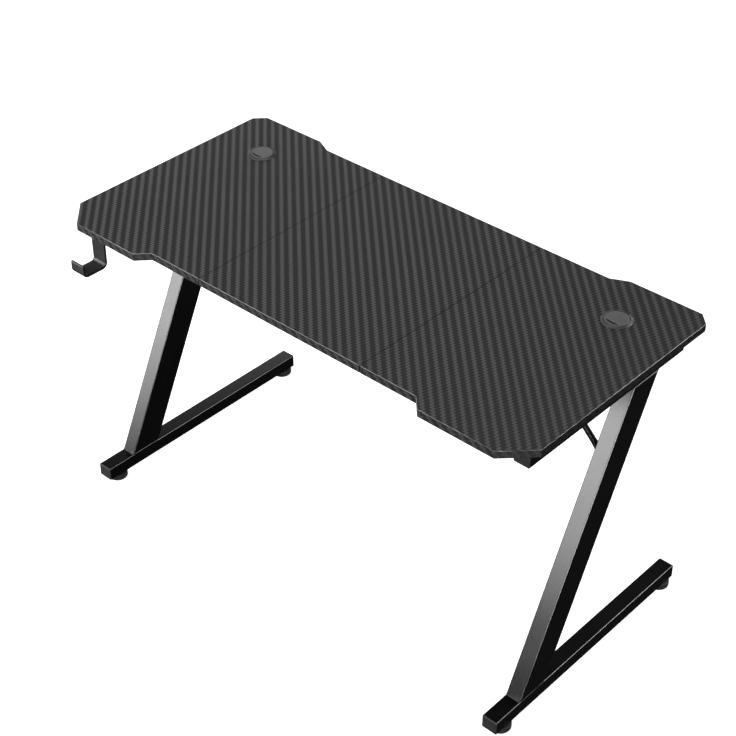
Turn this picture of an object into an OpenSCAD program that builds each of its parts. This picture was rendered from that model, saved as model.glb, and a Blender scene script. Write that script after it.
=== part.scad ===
// Straight gaming desk: a three-panel tabletop with cut corners on two slanted
// steel legs, joined by two beams and two diagonal braces.
// X runs left to right, Y front to back, Z up. The origin is on the floor,
// under the middle of the whole desk.

/* [Tabletop] */
// Width of the tabletop, left to right
top_w = 1240; // [1030:10:1500]
// Depth of the tabletop, front to back
top_d = 600; // [500:10:720]
// Height of the tabletop's upper face above the floor
desk_h = 725; // [600:5:870]
// Thickness of the three panels
top_t = 17; // [14:0.5:25]
// Width of the middle panel
middle_w = 436; // [360:2:530]
// Open groove between two panels
seam_gap = 0.6; // [0.2:0.1:2]
// Size of the cut at each front corner
front_corner = 59; // [30:1:90]
// Size of the cut at each rear corner
rear_corner = 24.5; // [10:0.5:50]
// Depth of the recess in the front edge
front_recess_d = 28; // [10:1:40]
// Width of the front recess along its inner edge
front_recess_w = 714; // [590:2:800]
// Sideways run of each slanted end of the front recess
front_recess_run = 27; // [10:1:60]
// Depth of the recess in the rear edge
rear_recess_d = 19; // [10:1:40]
// Width of the rear recess along its inner edge
rear_recess_w = 775; // [640:5:820]
// Sideways run of each slanted end of the rear recess
rear_recess_run = 39; // [10:1:60]

/* [Legs] */
// Width of every leg tube, left to right
tube_w = 36.5; // [30:0.5:45]
// Wall thickness of the leg tubes
tube_wall = 1.5; // [1.2:0.1:2]
// Outside corner radius of the leg tubes
tube_corner = 2.6; // [2.4:0.1:5]
// Height of the foot tubes
foot_h = 32.5; // [26:0.5:45]
// Height of the top tubes, under the tabletop
top_tube_h = 39; // [32:0.5:50]
// Depth of the slanted tubes, square to their length
slant_d = 71; // [55:1:90]
// Distance from the tabletop's side edge to the outer face of a leg
leg_inset = 22.5; // [10:0.5:60]
// Distance from the tabletop's front edge back to the front of a foot
foot_front_inset = 10; // [0:1:40]
// Distance that the feet reach behind the tabletop
foot_overhang = 26; // [10:1:60]
// Distance from the tabletop's front and rear edges to the top tubes
top_tube_inset = 57; // [40:1:75]
// Distance from the front of a foot to the front of its slanted tube
slant_base_setback = 75; // [40:1:120]
// Distance from the rear of a top tube to the back of its slanted tube
slant_top_setback = 83.5; // [40:0.5:120]

/* [End caps] */
// Thickness of the visible plate of an end cap
cap_plate = 3; // [2:0.5:6]
// Length of the plug inside the tube
cap_plug = 14; // [8:1:20]
// Wall thickness of the plug
cap_wall = 2; // [1.5:0.1:3]
// Gap between the plug and the tube, each side
cap_clear = 0.2; // [0.1:0.05:0.5]

/* [Levelling feet] */
// Diameter of a levelling pad
pad_d = 47; // [36:1:60]
// Height of a levelling pad
pad_h = 14; // [10:0.5:20]
// Gap between a pad screwed fully home and its tube
pad_gap = 0.3; // [0.2:0.1:1]
// Distance from the front of a foot to the centre of its front pad
pad_front_inset = 36.5; // [30:0.5:45]
// Distance from the rear of a foot to the centre of its rear pad
pad_rear_inset = 26; // [25:0.5:60]
// Diameter of the threaded stem
stem_d = 8; // [6:1:10]
// Length of the stem above the pad
stem_l = 25; // [16:1:27]
// Diameter of the stem's head, set into the pad
stem_head_d = 16; // [12:1:20]
// Height of the stem's head
stem_head_h = 8; // [4:0.5:9]
// Wall thickness of the threaded bush in the foot tube
bush_wall = 2.45; // [1.5:0.05:4]
// Length of the threaded bush
bush_l = 10; // [6:1:13]
// Running gap around the stem
stem_clear = 0.05; // [0.03:0.01:0.1]

/* [Beams and brackets] */
// Width of a beam, front to back
beam_w = 30; // [24:1:40]
// Height of a beam
beam_h = 20; // [18:1:30]
// Wall thickness of a beam
beam_wall = 1.2; // [1:0.1:2]
// Outside corner radius of a beam
beam_corner = 2; // [1.8:0.1:3]
// Distance from the tabletop's front edge to the front beam's centre line
front_beam_inset = 163; // [120:1:220]
// Thickness of the plate on each end of a beam
bracket_t = 3; // [2:0.5:5]
// Width of the end plate, front to back
bracket_w = 70; // [66:1:90]
// Height of the end plate
bracket_h = 34; // [26:1:36]
// Distance between the two bolts of an end plate
bracket_bolt_gap = 50; // [46:1:54]

/* [Braces] */
// Diameter of a brace tube
brace_d = 13; // [10:0.5:16]
// Wall thickness of a brace tube
brace_wall = 1.2; // [1:0.1:2]
// Reach of a brace along the rear beam, from the leg
brace_reach = 176; // [120:1:230]
// Drop of a brace down the leg, from the rear beam
brace_drop = 176; // [120:1:230]
// Thickness of the flat tab at each end of a brace
tab_t = 2.5; // [2:0.1:4]
// Width of a tab
tab_w = 19; // [17:0.5:24]
// Distance from a brace's centre line to the bolt in its tab
tab_bolt_offset = 17; // [16:0.5:24]
// Distance from the bolt to the end of its tab
tab_end = 9; // [7:0.5:14]
// Length of a tab past the end of the brace tube
tab_margin = 1.2; // [1:0.1:4]

/* [Bolts and screws] */
// Diameter of the machine bolts
bolt_d = 6; // [5:0.5:8]
// Diameter of a bolt's head
bolt_head_d = 11; // [9:0.5:13]
// Height of a bolt's head
bolt_head_h = 3.5; // [2.5:0.5:5]
// Gap around a bolt in a plate or wall
bolt_clear = 0.2; // [0.1:0.05:0.5]
// Gap around a bolt or screw in its thread
thread_clear = 0.05; // [0.03:0.01:0.1]
// Width across the corners of a weld nut
nut_d = 11.5; // [10:0.5:14]
// Height of a weld nut
nut_h = 5; // [4:0.5:6]
// Length of bolt that shows past its nut
bolt_past = 2; // [1:0.5:3]
// Diameter of the screws that hold the panels down
panel_screw_d = 5; // [4:0.5:6]
// Diameter of a panel screw's head
panel_head_d = 10; // [8:0.5:12]
// Height of a panel screw's head
panel_head_h = 2.5; // [2:0.5:4]
// Depth of every screw in a panel
screw_bite = 11; // [8:0.5:12]
// Distance from the rear end of a top tube to its rear panel screw
tube_screw_inset = 30; // [25:1:50]
// Distance from the rear end of the hook's flange to the front panel screw
tube_screw_clear = 14; // [10:1:24]
// Distance from the middle of the desk to the inner screws of a beam
beam_screw_inner = 110; // [60:5:170]
// Distance from a leg to the outer screws of a beam
beam_screw_outer = 100; // [40:5:130]

/* [Panel joints] */
// Length of a joint plate, across the seam
joint_plate_l = 120; // [100:2:160]
// Width of a joint plate
joint_plate_w = 40; // [24:1:50]
// Thickness of a joint plate
joint_plate_t = 3; // [2:0.5:4]
// Distance from the tabletop's front edge to the front joint plates
joint_plate_front = 78; // [65:1:110]
// Distance from the tabletop's rear edge to the rear joint plates
joint_plate_rear = 82; // [65:1:110]
// Distance from the seam to the inner screws of a joint plate
joint_screw_inner = 24; // [19:1:28]
// Distance from the seam to the outer screws of a joint plate
joint_screw_outer = 48; // [38:1:54]
// Diameter of a joint plate's screws
joint_screw_d = 4; // [3:0.5:5]
// Diameter of a joint plate screw's head
joint_head_d = 8; // [6:0.5:9]
// Height of a joint plate screw's head
joint_head_h = 2; // [1.5:0.5:3]
// Diameter of a dowel
dowel_d = 8; // [6:1:10]
// Length of a dowel
dowel_l = 30; // [20:1:40]
// Gap around a dowel, and at each of its ends
dowel_clear = 0.1; // [0.05:0.05:0.3]
// Distance from the middle of the tabletop to its front and rear dowels
dowel_spread = 160; // [80:5:190]

/* [Cable grommets] */
// Distance from the tabletop's side edge to a grommet's centre
grommet_side_inset = 135.5; // [110:0.5:180]
// Distance from the tabletop's rear edge to a grommet's centre
grommet_rear_inset = 129; // [70:1:180]
// Diameter of the rotating cap
cap_d = 50.4; // [40:0.2:64]
// Gap between the cap and the liner, at the side and below
cap_gap = 0.3; // [0.2:0.05:0.4]
// Width of the bevelled rim around the cap
rim_w = 6.8; // [5:0.2:12]
// Height of the rim above the tabletop
rim_h = 4; // [3:0.5:6]
// Height of the rim's upright outer edge
rim_edge = 1.2; // [0.8:0.1:2]
// Distance from the cap's seat out to the outside of the barrel
barrel_step = 3; // [2.6:0.1:4]
// Wall thickness of the barrel
barrel_wall = 2; // [1.5:0.1:2.4]
// Distance from the barrel's lower end to the panel's underside
barrel_short = 1.5; // [0.5:0.5:3]
// Gap between the barrel and its hole
barrel_clear = 0.3; // [0.1:0.1:0.6]
// Width of the ledge that the cap turns on
ledge_w = 2.5; // [2:0.1:3]
// Thickness of the ledge
ledge_t = 2; // [1.5:0.1:3]
// Thickness of the skirt under the cap
skirt_t = 1.5; // [1:0.1:2]
// Depth of the skirt below the cap
skirt_l = 8; // [4:0.5:11]
// Width of the cable slot, from its straight side to its curved side
slot_w = 7.5; // [6:0.5:14]
// Distance from the slot's curved side to the inside of the skirt
slot_edge = 0.7; // [0.5:0.1:2]

/* [Headset hook] */
// Width of the hook, left to right
hook_w = 40; // [30:1:50]
// Thickness of the hook's strip
hook_t = 6; // [4:0.5:8]
// Outside radius of the hook's bends
hook_bend = 14; // [10:0.5:18]
// Clear length of the hook, from lip to shank
hook_gap = 55; // [40:1:56]
// Drop of the hook below the top tube
hook_drop = 85; // [60:1:120]
// Height of the lip above the hook's underside
hook_lip = 32; // [24:1:45]
// Length of the flange under the top tube
hook_flange = 56; // [48:1:80]
// Diameter of the hook's screws
hook_screw_d = 4; // [3:0.5:5]
// Distance from the front of the shank to the first screw
hook_screw_first = 22; // [18:1:26]
// Distance from the rear end of the flange to the second screw
hook_screw_last = 11; // [7:1:14]
// Distance from the front of the top tube to the hook's shank
hook_setback = 5; // [4:1:20]

/* [Hidden] */
$fn = 64;
// Overlap that lets a cut pass a face cleanly
cut = 1;
steel = [0.07, 0.07, 0.075];
zinc = [0.55, 0.56, 0.58];
laminate = [0.13, 0.13, 0.14];
plastic = [0.18, 0.18, 0.19];
grommet_grey = [0.33, 0.33, 0.34];
beech = [0.75, 0.6, 0.42];

// Outer planes of the desk
front_y = -(top_d + foot_overhang) / 2;
rear_y = front_y + top_d;
foot_rear_y = -front_y;
top_mid_y = (front_y + rear_y) / 2;
half_w = top_w / 2;
panel_z = desk_h - top_t;
seam_x = middle_w / 2;

// Legs
leg_out_x = half_w - leg_inset;
leg_x = leg_out_x - tube_w / 2;
leg_in_x = leg_out_x - tube_w;
foot_z = pad_h + pad_gap;
stem_bore_r = stem_d / 2 + stem_clear;
bush_r = stem_bore_r + bush_wall;
foot_top_z = foot_z + foot_h;
foot_front_y = front_y + foot_front_inset;
top_tube_z = panel_z - top_tube_h;
top_tube_front_y = front_y + top_tube_inset;
top_tube_rear_y = rear_y - top_tube_inset;

// The slanted tube fills the span between its two setbacks
slant_y0 = foot_front_y + slant_base_setback;
slant_y1 = top_tube_rear_y - slant_top_setback;
slant_span = slant_y1 - slant_y0;
slant_rise = top_tube_z - foot_top_z;
slant_tilt = acos(slant_d / sqrt(slant_span * slant_span + slant_rise * slant_rise))
    - atan2(slant_rise, slant_span);
slant_cut = slant_d / cos(slant_tilt);

// Beams and braces
beam_z = panel_z - beam_h;
beam_end_x = leg_in_x - bracket_t;
bracket_z = panel_z - top_tube_h / 2;
brace_foot_z = beam_z - brace_drop;
brace_head_x = leg_in_x - brace_reach;
brace_angle = atan2(brace_drop, brace_reach);
brace_y = slant_y0 + slant_cut / 2 + (brace_foot_z - foot_top_z) * tan(slant_tilt);
brace_bolt_z = brace_foot_z - tab_bolt_offset;
brace_bolt_x = brace_head_x - tab_bolt_offset;
tab_lap = brace_d / 2 / min(sin(brace_angle), cos(brace_angle)) + tab_margin;
front_beam_y = front_y + front_beam_inset;
rear_beam_y = brace_y;
beam_ys = [front_beam_y, rear_beam_y];
bracket_bolt_ys = [for (y = beam_ys, s = [-1, 1]) y + s * bracket_bolt_gap / 2];

// Headset hook, hung from the front end of the left top tube
hook_shank_y = top_tube_front_y + hook_setback;
hook_lip_y = hook_shank_y - hook_gap - hook_t;
hook_z = top_tube_z - hook_drop;
hook_inner_bend = hook_bend - hook_t;
hook_screw_ys = [hook_shank_y + hook_screw_first, hook_shank_y + hook_flange - hook_screw_last];

// Screws into the panels: [x, y] of each one
tube_screw_ys = [
    hook_shank_y + hook_flange + tube_screw_clear,
    (front_beam_y + rear_beam_y) / 2,
    top_tube_rear_y - tube_screw_inset
];
tube_screws = [for (s = [-1, 1], y = tube_screw_ys) [s * leg_x, y]];
beam_screw_xs = [beam_screw_inner, leg_in_x - beam_screw_outer];
beam_screws = [for (y = beam_ys, s = [-1, 1], x = beam_screw_xs) [s * x, y]];
joint_plate_ys = [front_y + joint_plate_front, rear_y - joint_plate_rear];
joint_screw_xs = [-joint_screw_outer, -joint_screw_inner, joint_screw_inner, joint_screw_outer];
joint_screws = [for (y = joint_plate_ys, s = [-1, 1], x = joint_screw_xs) [s * seam_x + x, y]];
dowel_ys = [top_mid_y - dowel_spread, top_mid_y, top_mid_y + dowel_spread];

// Pads and grommets
pad_ys = [foot_front_y + pad_front_inset, foot_rear_y - pad_rear_inset];
grommet_x = half_w - grommet_side_inset;
grommet_y = rear_y - grommet_rear_inset;
cap_r = cap_d / 2;
seat_r = cap_r + cap_gap;
barrel_r = seat_r + barrel_step;
rim_r = seat_r + rim_w;
ledge_r = seat_r - ledge_w;
skirt_r = ledge_r - cap_gap;
slot_r = skirt_r - skirt_t - slot_edge;

// Shared shapes

// Rectangle with round corners, centred
module rounded_2d(w, h, r) {
    square([w - 2 * r, h], center = true);
    square([w, h - 2 * r], center = true);
    for (x = [-1, 1], y = [-1, 1])
        translate([x * (w / 2 - r), y * (h / 2 - r)]) circle(r);
}

// Cross-section of a rectangular tube
module tube_2d(w, h, r, wall) {
    difference() {
        rounded_2d(w, h, r);
        rounded_2d(w - 2 * wall, h - 2 * wall, r - wall);
    }
}

// Stands its children up so that their extrusion runs from y0 back to y1
module along_y(y0, y1) {
    translate([0, y1, 0]) rotate([90, 0, 0]) linear_extrude(y1 - y0) children();
}

// Runs its children's extrusion from x0 to x1, with their width along Y
module along_x(x0, x1) {
    translate([x0, 0, 0]) rotate([90, 0, 90]) linear_extrude(x1 - x0) children();
}

// Left-hand copy of what is modelled on the right
module on_left() {
    mirror([1, 0, 0]) children();
}

// Upright rod from z0 to z1
module rod_z(r, z0, z1) {
    translate([0, 0, z0]) cylinder(r = r, h = z1 - z0);
}

// Rod along X from x0 to x1
module rod_x(r, x0, x1) {
    translate([x0, 0, 0]) rotate([0, 90, 0]) cylinder(r = r, h = x1 - x0);
}

// Fastener that points up: its head is below z_seat
module screw_up(d, head_d, head_h, z_seat, z_tip) {
    rod_z(head_d / 2, z_seat - head_h, z_seat);
    rod_z(d / 2, z_seat - head_h / 2, z_tip);
}

// Bolt that points away from the desk's middle: its head is inside x_seat
module bolt_out(x_seat, x_tip) {
    rod_x(bolt_head_d / 2, x_seat - bolt_head_h, x_seat);
    rod_x(bolt_d / 2, x_seat - bolt_head_h / 2, x_tip);
}

// Tabletop

// Outline of the right-hand panel
module side_panel_2d() {
    front_x = front_recess_w / 2;
    back_x = rear_recess_w / 2;
    polygon([
        [seam_x + seam_gap / 2, front_y + front_recess_d],
        [front_x, front_y + front_recess_d],
        [front_x + front_recess_run, front_y],
        [half_w - front_corner, front_y],
        [half_w, front_y + front_corner],
        [half_w, rear_y - rear_corner],
        [half_w - rear_corner, rear_y],
        [back_x + rear_recess_run, rear_y],
        [back_x, rear_y - rear_recess_d],
        [seam_x + seam_gap / 2, rear_y - rear_recess_d]
    ]);
}

// Blind holes for every screw and dowel, in all three panels
module panel_holes() {
    for (p = concat(tube_screws, beam_screws))
        translate(p) rod_z(panel_screw_d / 2 + thread_clear, panel_z - cut, panel_z + screw_bite + cut);
    for (p = joint_screws)
        translate(p) rod_z(joint_screw_d / 2 + thread_clear, panel_z - cut, panel_z + screw_bite + cut);
    dowels(dowel_clear);
}

module dowels(gap) {
    for (s = [-1, 1], y = dowel_ys)
        translate([s * seam_x, y, panel_z + top_t / 2])
            rod_x(dowel_d / 2 + gap, -dowel_l / 2 - gap, dowel_l / 2 + gap);
}

module side_panel() {
    color(laminate) difference() {
        translate([0, 0, panel_z]) linear_extrude(top_t) side_panel_2d();
        panel_holes();
        translate([grommet_x, grommet_y])
            rod_z(barrel_r + barrel_clear, panel_z - cut, desk_h + cut);
    }
}

module top_panel_left() {
    on_left() side_panel();
}

module top_panel_middle() {
    middle_d = top_d - front_recess_d - rear_recess_d;
    color(laminate) difference() {
        translate([-(seam_x - seam_gap / 2), front_y + front_recess_d, panel_z])
            cube([middle_w - seam_gap, middle_d, top_t]);
        panel_holes();
    }
}

module top_panel_right() {
    side_panel();
}

module panel_dowels() {
    color(beech) dowels(0);
}

// Flat steel plate under the seam at [x, y]
module joint_plate(x, y) {
    color(steel) difference() {
        translate([x, y, panel_z - joint_plate_t]) linear_extrude(joint_plate_t)
            rounded_2d(joint_plate_l, joint_plate_w, joint_head_d / 2);
        for (p = joint_screws)
            translate(p) rod_z(joint_screw_d / 2 + bolt_clear, panel_z - joint_plate_t - cut, panel_z + cut);
    }
}

module joint_plate_screws() {
    color(zinc) for (p = joint_screws)
        translate(p) screw_up(joint_screw_d, joint_head_d, joint_head_h,
            panel_z - joint_plate_t, panel_z + screw_bite);
}

// Legs

// Steel foot tube of the right leg, with a hole for each bush
module foot_tube() {
    color(steel) difference() {
        translate([leg_x, 0, foot_z + foot_h / 2])
            along_y(foot_front_y + cap_plate, foot_rear_y - cap_plate)
                tube_2d(tube_w, foot_h, tube_corner, tube_wall);
        for (y = pad_ys)
            translate([leg_x, y]) rod_z(bush_r + thread_clear, foot_z - cut, foot_z + tube_wall + cut);
    }
}

// Slanted tube of the right leg, cut level at both ends, with the brace's bolt hole
module slant_tube() {
    color(steel) difference() {
        intersection() {
            translate([leg_x, slant_y0 + slant_cut / 2, foot_top_z]) rotate([-slant_tilt, 0, 0])
                translate([0, 0, -slant_d]) linear_extrude(slant_rise / cos(slant_tilt) + 2 * slant_d)
                    tube_2d(tube_w, slant_d, tube_corner, tube_wall);
            translate([leg_in_x - cut, slant_y0 - cut, foot_top_z])
                cube([tube_w + 2 * cut, slant_span + 2 * cut, slant_rise]);
        }
        translate([0, brace_y, brace_bolt_z])
            rod_x(bolt_d / 2 + bolt_clear, leg_in_x - cut, leg_in_x + tube_wall + cut);
    }
}

// Steel top tube of the right leg, drilled for the panel screws and the brackets
module top_tube() {
    color(steel) difference() {
        translate([leg_x, 0, top_tube_z + top_tube_h / 2])
            along_y(top_tube_front_y + cap_plate, top_tube_rear_y - cap_plate)
                tube_2d(tube_w, top_tube_h, tube_corner, tube_wall);
        for (y = tube_screw_ys)
            translate([leg_x, y]) rod_z(panel_screw_d / 2 + bolt_clear, top_tube_z - cut, panel_z + cut);
        for (y = bracket_bolt_ys)
            translate([0, y, bracket_z])
                rod_x(bolt_d / 2 + bolt_clear, leg_in_x - cut, leg_in_x + tube_wall + cut);
    }
}

module top_tube_left() {
    difference() {
        on_left() top_tube();
        for (y = hook_screw_ys)
            translate([-leg_x, y])
                rod_z(hook_screw_d / 2 + thread_clear, top_tube_z - cut, top_tube_z + tube_wall + cut);
    }
}

// End cap of a tube of height h, with its plate at z = 0 and its plug above
module end_cap(h) {
    plug_w = tube_w - 2 * (tube_wall + cap_clear);
    plug_h = h - 2 * (tube_wall + cap_clear);
    linear_extrude(cap_plate) rounded_2d(tube_w, h, tube_corner);
    translate([0, 0, cap_plate]) linear_extrude(cap_plug) difference() {
        rounded_2d(plug_w, plug_h, tube_corner - tube_wall);
        square([plug_w - 2 * cap_wall, plug_h - 2 * cap_wall], center = true);
    }
}

// End cap that closes the front end of a tube at y, centred on height z
module front_cap(y, z, h) {
    color(plastic) translate([leg_x, y, z]) rotate([-90, 0, 0]) end_cap(h);
}

// End cap that closes the rear end of a tube at y, centred on height z
module rear_cap(y, z, h) {
    color(plastic) translate([leg_x, y, z]) rotate([90, 0, 0]) end_cap(h);
}

module foot_cap_front() {
    front_cap(foot_front_y, foot_z + foot_h / 2, foot_h);
}

module foot_cap_rear() {
    rear_cap(foot_rear_y, foot_z + foot_h / 2, foot_h);
}

module top_cap_front() {
    front_cap(top_tube_front_y, top_tube_z + top_tube_h / 2, top_tube_h);
}

module top_cap_rear() {
    rear_cap(top_tube_rear_y, top_tube_z + top_tube_h / 2, top_tube_h);
}

// Levelling feet

module foot_bushes() {
    color(zinc) for (s = [-1, 1], y = pad_ys)
        translate([s * leg_x, y]) difference() {
            rod_z(bush_r, foot_z, foot_z + bush_l);
            rod_z(stem_bore_r, foot_z - cut, foot_z + bush_l + cut);
        }
}

// Round pad with softened edges and a pocket for the stem's head
module pad(y) {
    edge = 1.5;
    r = pad_d / 2;
    pocket_r = stem_head_d / 2 + thread_clear;
    pocket_z = pad_h - stem_head_h;
    color(plastic) translate([leg_x, y]) rotate_extrude() polygon([
        [0, 0], [r - edge, 0], [r, edge], [r, pad_h - edge], [r - edge, pad_h],
        [pocket_r, pad_h], [pocket_r, pocket_z], [0, pocket_z]
    ]);
}

module stem(y) {
    color(zinc) translate([leg_x, y]) {
        rod_z(stem_head_d / 2, pad_h - stem_head_h, pad_h);
        rod_z(stem_d / 2, pad_h - cut, pad_h + stem_l);
    }
}

// Beams and brackets

// Beam between the two legs, centred on y, drilled for its panel screws
module beam(y) {
    difference() {
        translate([0, y, beam_z + beam_h / 2]) along_x(-beam_end_x, beam_end_x)
            tube_2d(beam_w, beam_h, beam_corner, beam_wall);
        for (p = beam_screws)
            translate(p) rod_z(panel_screw_d / 2 + bolt_clear, beam_z - cut, panel_z + cut);
    }
}

module front_beam() {
    color(steel) beam(front_beam_y);
}

module rear_beam() {
    color(steel) difference() {
        beam(rear_beam_y);
        for (s = [-1, 1])
            translate([s * brace_bolt_x, brace_y])
                rod_z(bolt_d / 2 + bolt_clear, beam_z - cut, beam_z + beam_wall + cut);
    }
}

// Plate on the right end of the beam at y, with its two bolt holes
module bracket(y) {
    color(steel) difference() {
        translate([0, y, bracket_z]) along_x(beam_end_x, leg_in_x)
            rounded_2d(bracket_w, bracket_h, bolt_d / 2);
        for (s = [-1, 1])
            translate([0, y + s * bracket_bolt_gap / 2, bracket_z])
                rod_x(bolt_d / 2 + bolt_clear, beam_end_x - cut, leg_in_x + cut);
    }
}

// Diagonal tube from the right leg up to the rear beam, with a bolted tab at each end
module brace() {
    tab_l = tab_end + tab_bolt_offset + tab_lap;
    color(steel) difference() {
        union() {
            intersection() {
                translate([leg_in_x, brace_y, brace_foot_z]) rotate([0, brace_angle - 90, 0])
                    translate([0, 0, -brace_d]) difference() {
                        cylinder(d = brace_d, h = brace_reach + brace_drop);
                        translate([0, 0, -cut])
                            cylinder(d = brace_d - 2 * brace_wall, h = brace_reach + brace_drop + 2 * cut);
                    }
                translate([0, brace_y - brace_d, 0])
                    cube([leg_in_x - tab_t / 2, 2 * brace_d, beam_z - tab_t / 2]);
            }
            translate([leg_in_x - tab_t, brace_y - tab_w / 2, brace_bolt_z - tab_end])
                cube([tab_t, tab_w, tab_l]);
            translate([brace_bolt_x - tab_end, brace_y - tab_w / 2, beam_z - tab_t])
                cube([tab_l, tab_w, tab_t]);
        }
        translate([0, brace_y, brace_bolt_z])
            rod_x(bolt_d / 2 + bolt_clear, leg_in_x - tab_t - cut, leg_in_x + cut);
        translate([brace_bolt_x, brace_y])
            rod_z(bolt_d / 2 + bolt_clear, beam_z - tab_t - cut, beam_z + cut);
    }
}

// Fasteners of the frame

module frame_bolts() {
    color(zinc) for (m = [0, 1]) mirror([m, 0, 0]) for (y = bracket_bolt_ys)
        translate([0, y, bracket_z])
            bolt_out(beam_end_x, leg_in_x + tube_wall + nut_h + bolt_past);
}

module brace_bolts() {
    color(zinc) for (m = [0, 1]) mirror([m, 0, 0]) {
        translate([0, brace_y, brace_bolt_z])
            bolt_out(leg_in_x - tab_t, leg_in_x + tube_wall + nut_h + bolt_past);
        translate([brace_bolt_x, brace_y])
            screw_up(bolt_d, bolt_head_d, bolt_head_h, beam_z - tab_t,
                beam_z + beam_wall + nut_h + bolt_past);
    }
}

// Hexagonal nut with its bore, from z = 0 up
module weld_nut() {
    difference() {
        cylinder(d = nut_d, h = nut_h, $fn = 6);
        rod_z(bolt_d / 2 + thread_clear, -cut, nut_h + cut);
    }
}

module weld_nuts() {
    color(zinc) for (m = [0, 1]) mirror([m, 0, 0]) {
        for (p = concat([for (y = bracket_bolt_ys) [y, bracket_z]], [[brace_y, brace_bolt_z]]))
            translate([leg_in_x + tube_wall, p[0], p[1]]) rotate([0, 90, 0]) weld_nut();
        translate([brace_bolt_x, brace_y, beam_z + beam_wall]) weld_nut();
    }
}

module tube_panel_screws() {
    color(zinc) for (p = tube_screws)
        translate(p) screw_up(panel_screw_d, panel_head_d, panel_head_h, top_tube_z, panel_z + screw_bite);
}

module beam_panel_screws() {
    color(zinc) for (p = beam_screws)
        translate(p) screw_up(panel_screw_d, panel_head_d, panel_head_h, beam_z, panel_z + screw_bite);
}

// Cable grommets

// Fixed ring: a barrel in the panel, a bevelled rim on it and a ledge for the cap
module grommet_liner() {
    inner_r = barrel_r - barrel_wall;
    barrel_end = -(top_t - barrel_short);
    color(grommet_grey) translate([grommet_x, grommet_y, desk_h]) rotate_extrude() polygon([
        [inner_r, barrel_end], [barrel_r, barrel_end], [barrel_r, 0], [rim_r, 0],
        [rim_r, rim_edge], [seat_r + rim_edge, rim_h], [seat_r, rim_h], [seat_r, 0],
        [ledge_r, 0], [ledge_r, -ledge_t], [inner_r, -ledge_t]
    ]);
}

// Rotating cap: a disc and its skirt, with a half-moon slot at the front
module grommet_cap() {
    color(grommet_grey) translate([grommet_x, grommet_y, desk_h]) difference() {
        union() {
            rod_z(cap_r, cap_gap, rim_h);
            difference() {
                rod_z(skirt_r, -skirt_l, rim_h / 2);
                rod_z(skirt_r - skirt_t, -skirt_l - cut, cap_gap);
            }
        }
        intersection() {
            rod_z(slot_r, -cut, rim_h + cut);
            translate([-slot_r, -slot_r, -cut])
                cube([2 * slot_r, slot_w, rim_h + 2 * cut]);
        }
    }
}

module grommet_cap_left() {
    on_left() grommet_cap();
}

// Headset hook

// Quarter bend of the strip, from its end along -Y round to its end along -Z
module hook_bend_2d() {
    intersection() {
        difference() {
            circle(hook_bend);
            circle(hook_inner_bend);
        }
        translate([-hook_bend, -hook_bend]) square(hook_bend);
    }
}

// Side view of the hook: lip, arm, shank and flange, in Y and Z
module hook_2d() {
    shank_back = hook_shank_y + hook_t;
    lip_z = hook_z + hook_lip;
    arm_y0 = hook_lip_y + hook_bend;
    arm_y1 = shank_back - hook_bend;
    bend_z = hook_z + hook_bend;
    translate([hook_lip_y, bend_z]) square([hook_t, hook_lip - hook_bend - hook_t / 2]);
    translate([hook_lip_y + hook_t / 2, lip_z - hook_t / 2]) circle(hook_t / 2);
    translate([arm_y0, bend_z]) hook_bend_2d();
    translate([arm_y0, hook_z]) square([arm_y1 - arm_y0, hook_t]);
    translate([arm_y1, bend_z]) mirror([1, 0]) hook_bend_2d();
    translate([hook_shank_y, bend_z]) square([hook_t, hook_drop - 2 * hook_bend]);
    translate([hook_shank_y + hook_bend, top_tube_z - hook_bend]) mirror([0, 1]) hook_bend_2d();
    translate([hook_shank_y + hook_bend, top_tube_z - hook_t]) square([hook_flange - hook_bend, hook_t]);
}

module headset_hook() {
    color(plastic) difference() {
        along_x(-leg_x - hook_w / 2, -leg_x + hook_w / 2) hook_2d();
        for (y = hook_screw_ys)
            translate([-leg_x, y])
                rod_z(hook_screw_d / 2 + bolt_clear, top_tube_z - hook_t - cut, top_tube_z + cut);
    }
}

module hook_screws() {
    color(zinc) for (y = hook_screw_ys)
        translate([-leg_x, y]) screw_up(hook_screw_d, joint_head_d, joint_head_h,
            top_tube_z - hook_t, top_tube_z + screw_bite);
}

top_panel_left();
top_panel_middle();
top_panel_right();
panel_dowels();
joint_plate(-seam_x, joint_plate_ys[0]);  // joint_plate_front_left
joint_plate(seam_x, joint_plate_ys[0]);  // joint_plate_front_right
joint_plate(-seam_x, joint_plate_ys[1]);  // joint_plate_rear_left
joint_plate(seam_x, joint_plate_ys[1]);  // joint_plate_rear_right
joint_plate_screws();
on_left() foot_tube();  // foot_tube_left
foot_tube();  // foot_tube_right
on_left() slant_tube();  // slant_tube_left
slant_tube();  // slant_tube_right
top_tube_left();
top_tube();  // top_tube_right
on_left() foot_cap_front();  // foot_cap_front_left
foot_cap_front();  // foot_cap_front_right
on_left() foot_cap_rear();  // foot_cap_rear_left
foot_cap_rear();  // foot_cap_rear_right
on_left() top_cap_front();  // top_cap_front_left
top_cap_front();  // top_cap_front_right
on_left() top_cap_rear();  // top_cap_rear_left
top_cap_rear();  // top_cap_rear_right
foot_bushes();
on_left() pad(pad_ys[0]);  // pad_front_left
pad(pad_ys[0]);  // pad_front_right
on_left() pad(pad_ys[1]);  // pad_rear_left
pad(pad_ys[1]);  // pad_rear_right
on_left() stem(pad_ys[0]);  // stem_front_left
stem(pad_ys[0]);  // stem_front_right
on_left() stem(pad_ys[1]);  // stem_rear_left
stem(pad_ys[1]);  // stem_rear_right
front_beam();
rear_beam();
on_left() bracket(front_beam_y);  // bracket_front_left
bracket(front_beam_y);  // bracket_front_right
on_left() bracket(rear_beam_y);  // bracket_rear_left
bracket(rear_beam_y);  // bracket_rear_right
on_left() brace();  // brace_left
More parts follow.
